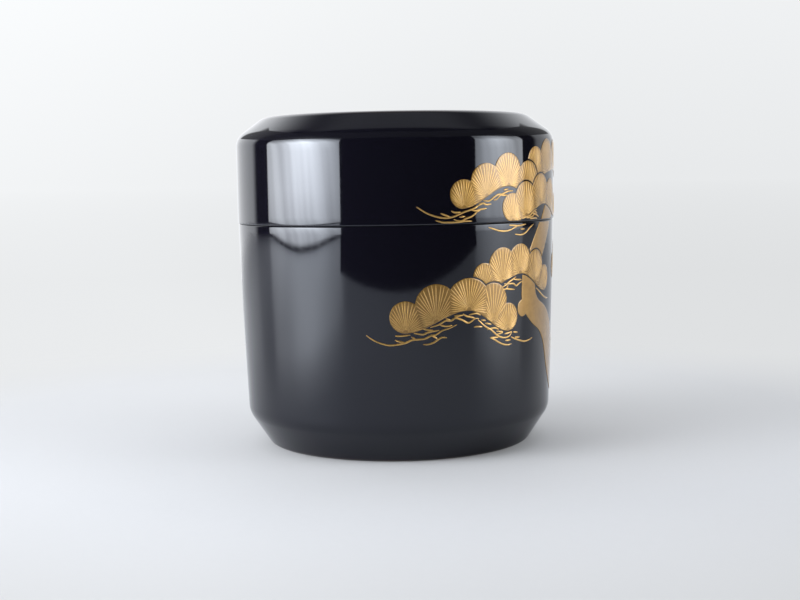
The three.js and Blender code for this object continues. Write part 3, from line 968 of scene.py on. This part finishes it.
def lobe_inset(name, along, up):
    """Distance from the line where a lobe meets the next one in its bough."""
    if name not in BOUGHS:
        return np.full(np.shape(along), np.inf)
    lobes = BOUGHS[name]["lobes"]
    powers = lobe_powers(BOUGHS[name], along, up)
    owner = np.argmin(powers, axis=0)
    nearest = np.full(np.shape(along), np.inf)
    for i, (a, u, _) in enumerate(lobes):
        for j, (b, v, _) in enumerate(lobes):
            if i != j:
                gap = (powers[j] - powers[i]) / (2 * math.hypot(a - b, u - v))
                nearest = np.where(owner == i, np.minimum(nearest, gap), nearest)
    return nearest


def wrap(name, along, up, lift, form):
    """Points of the drawing, in millimetres, laid on the wall at a lift above it in metres."""
    turn = along * MM / form.lid_radius
    height = form.seam_height + up * MM
    wall = body_radius(form, height) if side_of(name) == "body" else lid_radius(form, height)
    radius = wall + lift
    return np.column_stack([radius * np.sin(turn), -radius * np.cos(turn), height])


def drawn_grid(name, form, pine):
    """Points of a fine grid over one island of gold, drawn on to its outline where they lie near it."""
    if name in BOUGHS:
        reach = np.array(BOUGHS[name]["lobes"], float)
    else:
        reach = np.concatenate([np.array(line, float) for line in TRUNKS[name]["lines"]])
    pitch = pine.plate_pitch / MM
    low = (reach[:, :2] - reach[:, 2:]).min(axis=0) - pitch
    high = (reach[:, :2] + reach[:, 2:]).max(axis=0) + pitch
    along, up = np.meshgrid(np.arange(low[0], high[0], pitch), np.arange(low[1], high[1], pitch))
    away = plate_distance(name, along, up, form, pine)
    slope_up, slope_along = np.gradient(away, pitch)
    steep = np.maximum(slope_up**2 + slope_along**2, SNAP_SLOPE)
    near = np.abs(away) < SNAP_REACH * pitch
    along = np.where(near, along - away * slope_along / steep, along)
    up = np.where(near, up - away * slope_up / steep, up)
    return along, up, np.where(near, 0.0, away)


def cut_cells(along, up, away):
    """The inside of an outline as points, their distance to it, and faces that end on it."""
    columns = along.shape[1]
    points = np.column_stack([along.ravel(), up.ravel()]).tolist()
    inset = away.ravel().tolist()
    corner = (np.arange(along.shape[0] - 1)[:, None] * columns + np.arange(columns - 1)).ravel()
    cells = np.column_stack([corner, corner + 1, corner + columns + 1, corner + columns])
    inside = (away.ravel() <= 0)[cells]
    faces = cells[inside.all(axis=1)].tolist()
    crossings = {}

    def crossing(a, b):
        key = (min(a, b), max(a, b))
        if key not in crossings:
            t = inset[a] / (inset[a] - inset[b])
            crossings[key] = len(points)
            points.append([points[a][k] + t * (points[b][k] - points[a][k]) for k in (0, 1)])
            inset.append(0.0)
        return crossings[key]

    for cell in cells[inside.any(axis=1) & ~inside.all(axis=1)].tolist():
        face = []
        for a, b in zip(cell, cell[1:] + cell[:1]):
            if inset[a] <= 0:
                face.append(a)
            if inset[a] * inset[b] < 0:
                face.append(crossing(a, b))
        if len(face) > 2:
            faces.append(face)
    return np.array(points), np.array(inset), faces


def closed_plate(faces, count):
    """Faces of a closed plate: its top, its underside, and a wall along every free edge."""
    edges = {(a, b) for face in faces for a, b in zip(face, face[1:] + face[:1])}
    rims = [(a, b) for a, b in edges if (b, a) not in edges]
    under = [[i + count for i in reversed(face)] for face in faces]
    walls = [[b, a, a + count, b + count] for a, b in sorted(rims)]
    return faces + under + walls


def gold_plate(name, form, pine):
    """One island of raised gold with a rounded edge, swelling in the middle of each lobe."""
    points, away, faces = cut_cells(*drawn_grid(name, form, pine))
    used = np.unique(np.concatenate([np.array(face) for face in faces]))
    order = np.full(len(points), -1)
    order[used] = np.arange(len(used))
    faces = [order[face].tolist() for face in faces]
    along, up = points[used].T
    depth = np.maximum(-away[used], 0) * MM
    edge = np.clip(depth / pine.plate_edge, 0, 1)
    middle = np.minimum(depth, lobe_inset(name, along, up) * MM)
    rounded = np.sqrt(1 - (1 - edge) ** 2)
    lift = pine.plate_relief * (EDGE_START + (1 - EDGE_START) * rounded)
    lift += pine.plate_dome * (1 - np.exp(-np.maximum(middle, 0) / pine.dome_reach))
    top = wrap(name, along, up, lift, form)
    bottom = wrap(name, along, up, -pine.plate_root, form)
    mesh = bpy.data.meshes.new(name + "_gold")
    mesh.from_pydata(np.concatenate([top, bottom]).tolist(), [], closed_plate(faces, len(used)))
    mesh.materials.append(finish_named("Gold trunk" if name in TRUNKS else "Gold ground"))
    mesh.shade_smooth()
    mesh.set_sharp_from_angle(angle=PLATE_SHARP)
    return link(name + "_gold", mesh)


def needle_lines(name, form, pine, rng):
    """Needles that fan out from a hub on the underside, each ending where its lobe ends."""
    bough = BOUGHS[name]
    lines = []
    for index, (along, up, radius) in enumerate(bough["lobes"]):
        hub_up = float(arch(bough["underside"], along)) + NEEDLE_HUB
        count = int((NEEDLE_FAN[1] - NEEDLE_FAN[0]) / pine.needle_turn)
        fan = np.linspace(*NEEDLE_FAN, count) + rng.normal(0, NEEDLE_WAVER, count)
        reach = np.arange(NEEDLE_START, NEEDLE_REACH * radius, NEEDLE_SEARCH)
        a = along + np.cos(fan)[:, None] * reach
        u = hub_up + np.sin(fan)[:, None] * reach
        free = plate_distance(name, a, u, form, pine) < -pine.needle_margin / MM
        free &= np.argmin(lobe_powers(bough, a, u), axis=0) == index
        for row in range(count):
            start = NEEDLE_START + NEEDLE_DELAY * (row % 2)
            run = np.flatnonzero(free[row] & (reach > start))
            if len(run) == 0:
                continue
            breaks = np.flatnonzero(np.diff(run) > 1)
            last = run[breaks[0]] if len(breaks) else run[-1]
            if reach[last] - reach[run[0]] > NEEDLE_SHORTEST:
                lines.append([(a[row, i], u[row, i]) for i in (run[0], last)])
    return lines


def carried_twigs(name):
    """The twigs under a bough, its own or those of the bough that it is like."""
    if name in TWIGS:
        return TWIGS[name]
    if name not in TWIGS_LIKE:
        return []
    like = TWIGS_LIKE[name]
    under, like_under = BOUGHS[name]["underside"], BOUGHS[like]["underside"]
    left, like_left = under[0][0], like_under[0][0]
    stretch = (under[2][0] - left) / (like_under[2][0] - like_left)
    moved = []
    for line in TWIGS[like]:
        row = []
        for along, up in line:
            drop = up - float(arch(like_under, along))
            new_along = left + (along - like_left) * stretch
            row.append((new_along, float(arch(under, new_along)) + drop))
        moved.append(row)
    return moved


def raised_lines(name, side, lines, form, values):
    """Drawn lines as ridges of gold on the wall of the lid or of the body."""
    on_body = side == "body"
    chains = [[(along * MM, up * MM, 0) for along, up in line] for line in lines]
    wall = {
        "Drawing Radius": form.lid_radius,
        "Wall Radius": form.lid_radius - (form.lid_overhang if on_body else 0),
        "Seam Height": form.seam_height,
        "Taper": form.body_taper if on_body else 0.0,
        "Taper Span": form.seam_height - form.foot_bevel_height,
        "Taper Power": form.taper_power,
        "Crease Start": crease_start(form) - form.seam_height,
        "Crease Round": form.lid_crease,
        "Material": finish_named("Gold line"),
    }
    tree = tree_named("Raised line", raised_line_tree)
    return grown(name, chains, tree, {**wall, **values}, LINE_SHARP)


def raise_on_walls(kind, lines_of, form, values, spare=()):
    """One piece of raised lines on the body and one on the lid. Spare lines go on the body."""
    for side in ("body", "lid"):
        names = [name for name in BOUGHS if side_of(name) == side]
        lines = [line for name in names for line in lines_of(name)]
        if side == "body":
            lines += spare
        raised = raised_lines(f"{side}_{kind}", side, lines, form, values)
        place_piece(raised, side, "gold")


class CADDY_OT_turn_body(bpy.types.Operator):
    """Turn the body, with its neck, floor and foot ring"""

    bl_idname = "caddy.turn_body"
    bl_label = "Turn the body"

    def execute(self, context):
        form = context.scene.caddy_form
        shell = turned_shell("body_shell", body_corners(form), form)
        crease = body_radius(form, form.foot_bevel_height)
        edges = [(crease - form.foot_bevel_width, 0), (form.lid_radius - form.lid_wall, form.neck_top)]
        mark_edges(shell.data, edges, form.rub_reach)
        place_piece(shell, "body", "lacquer", "caddy_body")
        return {"FINISHED"}


class CADDY_OT_turn_lid(bpy.types.Operator):
    """Turn the lid, with its bevelled top"""

    bl_idname = "caddy.turn_lid"
    bl_label = "Turn the lid"

    def execute(self, context):
        form = context.scene.caddy_form
        shell = turned_shell("lid_shell", lid_corners(form), form)
        bore = form.lid_radius - form.lid_wall
        edges = [(form.lid_radius - form.top_bevel_width, form.top_height), (bore, form.seam_height)]
        mark_edges(shell.data, edges, form.rub_reach)
        place_piece(shell, "lid", "lacquer", "lid")
        return {"FINISHED"}


class CADDY_OT_lay_gold(bpy.types.Operator):
    """Lay the boughs and the trunk as islands of raised gold"""

    bl_idname = "caddy.lay_gold"
    bl_label = "Lay the gold"

    def execute(self, context):
        scene = context.scene
        for name in [*BOUGHS, *TRUNKS]:
            plate = gold_plate(name, scene.caddy_form, scene.caddy_pine)
            place_piece(plate, side_of(name), "gold", name)
        return {"FINISHED"}


class CADDY_OT_raise_needles(bpy.types.Operator):
    """Raise the fans of needles on every bough"""

    bl_idname = "caddy.raise_needles"
    bl_label = "Raise the needles"

    def execute(self, context):
        form, pine = context.scene.caddy_form, context.scene.caddy_pine
        rng = np.random.default_rng(NEEDLE_SEED)
        values = {
            "Width": pine.needle_width,
            "Relief": pine.needle_relief,
            "Lift": pine.plate_relief + pine.needle_seat,
            "Step": pine.line_step,
            "Tip": pine.needle_tip,
            "Lean": pine.needle_lean,
        }
        raise_on_walls("needles", lambda name: needle_lines(name, form, pine, rng), form, values)
        return {"FINISHED"}


class CADDY_OT_raise_twigs(bpy.types.Operator):
    """Raise the twigs that hang under the boughs"""

    bl_idname = "caddy.raise_twigs"
    bl_label = "Raise the twigs"

    def execute(self, context):
        form, pine = context.scene.caddy_form, context.scene.caddy_pine
        values = {
            "Width": pine.twig_width,
            "Relief": pine.twig_relief,
            "Lift": 0.0,
            "Step": pine.line_step / 2,
            "Tip": pine.twig_tip,
            "Lean": pine.twig_lean,
        }
        raise_on_walls("twigs", carried_twigs, form, values, BODY_SEAM_TWIGS)
        return {"FINISHED"}


def floor_finish(finish):
    """Pale board. It fades to the background in the picture, and from sight in the lacquer."""
    material, nodes = new_material("Pale board")
    place = nodes.add("ShaderNodeTexCoord").outputs["Object"]
    x, y, _ = nodes.parts(place)
    away = nodes.add("ShaderNodeVectorMath", {0: place}, operation="LENGTH").outputs["Value"]
    ray = nodes.add("ShaderNodeLightPath").outputs
    fade = nodes.math("MAXIMUM", nodes.span(y, *FADE_BACK), nodes.span(away, *FADE_AWAY, smooth=True))
    fade = nodes.times(fade, ray["Is Camera Ray"])
    far = nodes.span(nodes.math("LOGARITHM", away, math.e), *FADED_FAR)
    strength = nodes.math("ADD", nodes.span(y, *FADED_NEAR), far)
    backdrop = backdrop_colour(nodes, nodes.math("DIVIDE", x, away), finish)
    leftward = nodes.span(x, *LOST_LEFT, smooth=True)
    backward = nodes.span(y, *LOST_BACK, smooth=True)
    lost = nodes.times(nodes.math("MAXIMUM", leftward, backward), ray["Is Glossy Ray"])
    beside = nodes.span(nodes.math("ABSOLUTE", x), *POLISHED, smooth=True)
    polish = nodes.times(beside, ray["Is Glossy Ray"])
    tooth = noise(nodes, place, BOARD_TOOTH, 3)
    dull = opaque([BOARD_DULL * value for value in finish.floor])
    board = nodes.add(
        "ShaderNodeBsdfPrincipled",
        {
            "Base Color": nodes.blend(tooth, dull, opaque(finish.floor)),
            "Roughness": nodes.span(polish, 0, 1, *BOARD_ROUGHNESS),
            "Specular IOR Level": nodes.span(polish, 0, 1, *BOARD_SPECULAR),
        },
    )
    shown = nodes.mix(fade, board.outputs[0], nodes.glow(backdrop, strength))
    finish_surface(nodes, nodes.mix(lost, shown, nodes.clear()))
    return material


def place_across(nodes):
    """Shares of the width and height of a light."""
    return nodes.parts(nodes.add("ShaderNodeUVMap", uv_map="across").outputs["UV"])


def light_finish(name, strength, streak, centre, outer, top, hem):
    """A soft light with slanting folds, one streak, a dark hem, and a dim top and outer corner."""
    material, nodes = new_material(name)
    across, up, _ = place_across(nodes)
    slant = nodes.math("MULTIPLY_ADD", up, FOLD_SLANT, across)
    folds = noise(nodes, nodes.joined(slant, nodes.times(up, FOLD_STRETCH)), FOLD_SCALE, 1)
    depth = FOLD_DEPTH * streak
    folds = nodes.span(folds, *FOLD_LEVELS, 1 - depth, 1 + depth)
    near = nodes.span(nodes.gap(across, centre), 0, STREAK_WIDTH, streak, 0, smooth=True)
    lit = nodes.math("MULTIPLY_ADD", near, nodes.span(up, *STREAK_RISE), folds)
    end = 1 - LIGHT_END * streak
    corner = nodes.span(nodes.gap(across, outer), *CORNER_LINE)
    shades = [
        nodes.span(across, 0, LIGHT_EDGE, end, 1),
        nodes.span(across, centre + LIGHT_EDGE, 1, 1, end),
        nodes.span(up, *LIGHT_TOP, 1, top),
        nodes.span(nodes.math("SUBTRACT", up, corner), *CORNER_FADE, smooth=True),
        nodes.span(up, *LIGHT_FOOT),
    ]
    if hem:
        shades.append(nodes.span(up, hem / 2, hem))
    finish_surface(nodes, nodes.glow(LIGHT_COLOUR, nodes.times(lit, *shades, strength)))
    return material


def sheet(name, corners, faces, material):
    """Flat faces of the stage."""
    mesh = bpy.data.meshes.new(name)
    mesh.from_pydata(corners, [], faces)
    mesh.materials.append(material)
    made = link(name, mesh)
    return made


def bearing_point(bearing, away):
    """A point on the floor at a bearing from the front, in degrees, positive to the right."""
    turn = math.radians(bearing)
    return Vector((math.sin(turn), -math.cos(turn), 0)) * away


def light_card(name, feet, height, material):
    """A folded light that stands upright on the floor, out of the camera's sight."""
    rise = Vector((0, 0, height))
    count = len(feet)
    faces = [(i, i + 1, count + i + 1, count + i) for i in range(count - 1)]
    card = sheet(name, [*feet, *[foot + rise for foot in feet]], faces, material)
    across = card.data.uv_layers.new(name="across")
    for loop, place in zip(card.data.loops, across.data):
        place.uv = (loop.vertex_index % count / (count - 1), loop.vertex_index // count)
    card.visible_camera = False
    card.visible_shadow = False
    return card


def hang_flag(stage):
    """A dark band round the lid, seen only in mirrors, that keeps the lights out of its flat top."""
    material, nodes = new_material("Dark flag")
    aside = nodes.gap(place_across(nodes)[0], 0.5)
    open_share = nodes.span(aside, *FLAG_END, stage.flag_open, 1, smooth=True)
    faint = nodes.glow((1, 1, 1, 1), stage.flag_strength)
    finish_surface(nodes, nodes.mix(open_share, faint, nodes.clear()))
    reach, back = stage.flag_reach, stage.flag_back
    fold = reach * (math.sqrt(2) - 1)
    left = [(-reach, back), (-reach, -fold), (-fold, -reach)]
    corners = left + [(-x, y) for x, y in reversed(left)]
    feet = [Vector((x, y, stage.flag_low)) for x, y in corners]
    light_card("lid_flag", feet, stage.flag_height, material).visible_diffuse = False


def lay_floor(stage, finish):
    """The board that the lacquer mirrors, and a wide floor under it, which it doesn't mirror."""
    material = floor_finish(finish)
    start, end = BOARD_TURNS
    front = [bearing_point(turn, stage.floor_front / math.cos(math.radians(turn))) for turn in BOARD_TURNS]
    round_back = np.linspace(end, start + 360, BOARD_CORNERS)
    corners = front + [bearing_point(turn, stage.board_reach) for turn in round_back]
    sheet("board", corners, [range(len(corners))], material)
    reach = stage.floor_reach
    low = -FLOOR_DROP
    wide = [(-reach, -reach, low), (reach, -reach, low), (reach, reach, low), (-reach, reach, low)]
    sheet("floor", wide, [range(4)], material).visible_glossy = False


def hang_lights(stage):
    """The two upright lights, the dark band that shades the lid's top, and the light over the board."""
    left = light_finish("Left light", stage.left_strength, **LEFT_LOOK)
    light_card("left_light", [bearing_point(*foot) for foot in LEFT_FEET], stage.left_height, left)
    hang_flag(stage)
    right = light_finish("Right light", stage.right_strength, **RIGHT_LOOK)
    light_card("right_light", [bearing_point(*foot) for foot in RIGHT_FEET], stage.right_height, right)
    material, nodes = new_material("Overhead light")
    finish_surface(nodes, nodes.glow(LIGHT_COLOUR, stage.fill_strength))
    above = sheet("overhead_light", OVERHEAD, [range(len(OVERHEAD))], material)
    above.visible_camera = False
    above.visible_shadow = False
    above.visible_glossy = False


def backdrop_colour(nodes, sideways, finish):
    """The pale background, a little darker towards the right."""
    pale = opaque(finish.background)
    dim = opaque([BACKDROP_DIM * value for value in finish.background])
    return nodes.blend(nodes.span(sideways, *BACKDROP_TURN, smooth=True), pale, dim)


def light_world(stage, finish):
    """Plain and pale to the camera. To the object: pale at the back, dark in front and above."""
    world = bpy.data.worlds.new("Studio")
    bpy.context.scene.world = world
    world.use_nodes = True
    world.node_tree.nodes.clear()
    nodes = Nodes(world.node_tree)
    x, y, z = nodes.parts(nodes.add("ShaderNodeTexCoord").outputs["Generated"])
    level = nodes.math("SQRT", nodes.math("SUBTRACT", 1.0, nodes.math("POWER", z, 2.0)))
    level = nodes.math("MAXIMUM", level, 0.001)
    sideways = nodes.math("DIVIDE", x, level)
    backward = nodes.math("DIVIDE", y, level)
    behind = nodes.span(backward, *BACK_EDGE, 0, stage.back_strength, smooth=True)
    behind = nodes.times(behind, nodes.span(sideways, *BACK_TILT))
    behind = nodes.times(behind, nodes.span(z, *BACK_TOP, smooth=True), nodes.span(z, *BACK_RISE))
    overhead = nodes.span(z, *TOP_EDGE, 0, stage.top_strength, smooth=True)
    overhead = nodes.times(overhead, nodes.span(y, *TOP_FRONT, smooth=True))
    dim = nodes.math("ADD", nodes.math("ADD", behind, overhead), stage.room_strength)
    room = nodes.add("ShaderNodeBackground", {"Color": LIGHT_COLOUR, "Strength": dim})
    backdrop = backdrop_colour(nodes, sideways, finish)
    upward = nodes.span(z, *BACKDROP_RISE)
    plain = nodes.add("ShaderNodeBackground", {"Color": backdrop, "Strength": upward})
    seen = nodes.add("ShaderNodeLightPath").outputs["Is Camera Ray"]
    mixed = nodes.mix(seen, room.outputs[0], plain.outputs[0])
    nodes.add("ShaderNodeOutputWorld", {"Surface": mixed})


def set_camera(stage):
    pitch, yaw, roll = stage.camera_pitch, stage.camera_yaw, stage.camera_roll
    forward = Vector((math.sin(yaw) * math.cos(pitch), math.cos(yaw) * math.cos(pitch), -math.sin(pitch)))
    level = Vector((math.cos(yaw), -math.sin(yaw), 0))
    upright = level.cross(forward)
    right = level * math.cos(roll) - upright * math.sin(roll)
    up = level * math.sin(roll) + upright * math.cos(roll)
    data = bpy.data.cameras.new("Camera")
    data.lens = stage.lens
    data.sensor_fit = "HORIZONTAL"
    data.sensor_width = 36
    data.clip_start = 0.01
    camera = link("Camera", data)
    turn = Matrix((right, up, -forward)).transposed().to_4x4()
    camera.matrix_world = Matrix.Translation((0, -stage.camera_back, stage.camera_height)) @ turn
    bpy.context.scene.camera = camera


class CADDY_OT_set_stage(bpy.types.Operator):
    """Set the camera, the pale floor and the soft lights"""

    bl_idname = "caddy.set_stage"
    bl_label = "Set the stage"

    def execute(self, context):
        scene = context.scene
        scene.view_settings.view_transform = "Standard"
        set_camera(scene.caddy_stage)
        lay_floor(scene.caddy_stage, scene.caddy_finish)
        hang_lights(scene.caddy_stage)
        light_world(scene.caddy_stage, scene.caddy_finish)
        return {"FINISHED"}


class CADDY_PT_sidebar(bpy.types.Panel):
    """Sizes, colours and steps of the tea caddy"""

    bl_idname = "CADDY_PT_sidebar"
    bl_label = "Tea Caddy"
    bl_space_type = "VIEW_3D"
    bl_region_type = "UI"
    bl_category = "Tea Caddy"

    def draw(self, context):
        for step in STEPS:
            self.layout.operator(step.bl_idname)
        for name in GROUPS:
            group = getattr(context.scene, name)
            box = self.layout.box()
            for key in group.bl_rna.properties.keys():
                if key not in ("name", "rna_type"):
                    box.prop(group, key)


STEPS = (
    CADDY_OT_set_stage,
    CADDY_OT_turn_body,
    CADDY_OT_turn_lid,
    CADDY_OT_lay_gold,
    CADDY_OT_raise_needles,
    CADDY_OT_raise_twigs,
)
GROUPS = {
    "caddy_form": CaddyForm,
    "caddy_pine": PineForm,
    "caddy_finish": CaddyFinish,
    "caddy_stage": CaddyStage,
}


def register():
    for made in (*GROUPS.values(), *STEPS, CADDY_PT_sidebar):
        bpy.utils.register_class(made)
    for name, group in GROUPS.items():
        setattr(bpy.types.Scene, name, PointerProperty(type=group))


def unregister():
    for name in GROUPS:
        delattr(bpy.types.Scene, name)
    for made in (CADDY_PT_sidebar, *reversed(STEPS), *GROUPS.values()):
        bpy.utils.unregister_class(made)


def main():
    register()
    bpy.ops.caddy.set_stage()
    bpy.ops.caddy.turn_body()
    bpy.ops.caddy.turn_lid()
    bpy.ops.caddy.lay_gold()
    bpy.ops.caddy.raise_needles()
    bpy.ops.caddy.raise_twigs()


if __name__ == "__main__":
    main()
